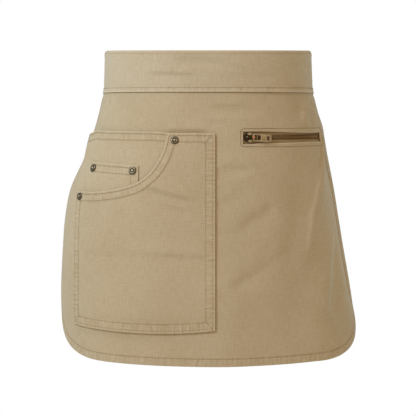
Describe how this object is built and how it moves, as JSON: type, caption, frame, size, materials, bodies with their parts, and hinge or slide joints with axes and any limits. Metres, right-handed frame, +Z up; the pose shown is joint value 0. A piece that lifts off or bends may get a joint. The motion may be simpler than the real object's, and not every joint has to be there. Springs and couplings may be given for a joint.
{
  "type": "half waist apron",
  "caption": "Short cotton twill waist apron, worn: wide waistband, A-line panel with round lower corners, riveted jeans-style patch pocket, coin pocket and metal zip pocket.",
  "frame": {"origin": "centre of the waist ring at half the height of the waistband", "axes": "+Z up, -Y is the front, +X to the right as seen from the front"},
  "size_m": [0.3484, 0.2155, 0.3626],
  "materials": {
    "twill": "matte cotton twill",
    "tape": "woven zip tape",
    "bag_cloth": "plain cotton",
    "antique_brass": "darkened, worn bright on the high places"
  },
  "bodies": {
    "apron": {"waistband": "twill", "skirt_panel": "twill", "pocket_back": "twill", "coin_pocket": "twill", "pocket_front": "twill", "tie_left": "twill", "tie_right": "twill", "tie_knot": "twill", "zip_pocket_bag": "bag_cloth", "zip_tape_upper": "tape", "zip_tape_lower": "tape", "zip_teeth": "antique_brass", "zip_slider": "antique_brass", "rivet_scoop_top": "antique_brass", "rivet_scoop_side": "antique_brass", "rivet_coin_left": "antique_brass", "rivet_coin_right": "antique_brass"},
    "zip_pull": {"zip_pull": "antique_brass"}
  },
  "joints": [
    {"name": "pull_hinge", "type": "hinge", "parent": "apron", "child": "zip_pull", "pos_m": [0.05185, -0.09617, -0.07491], "axis": [-0.0361, -0.1971, -0.9797], "range_deg": [0, 150]}
  ]
}
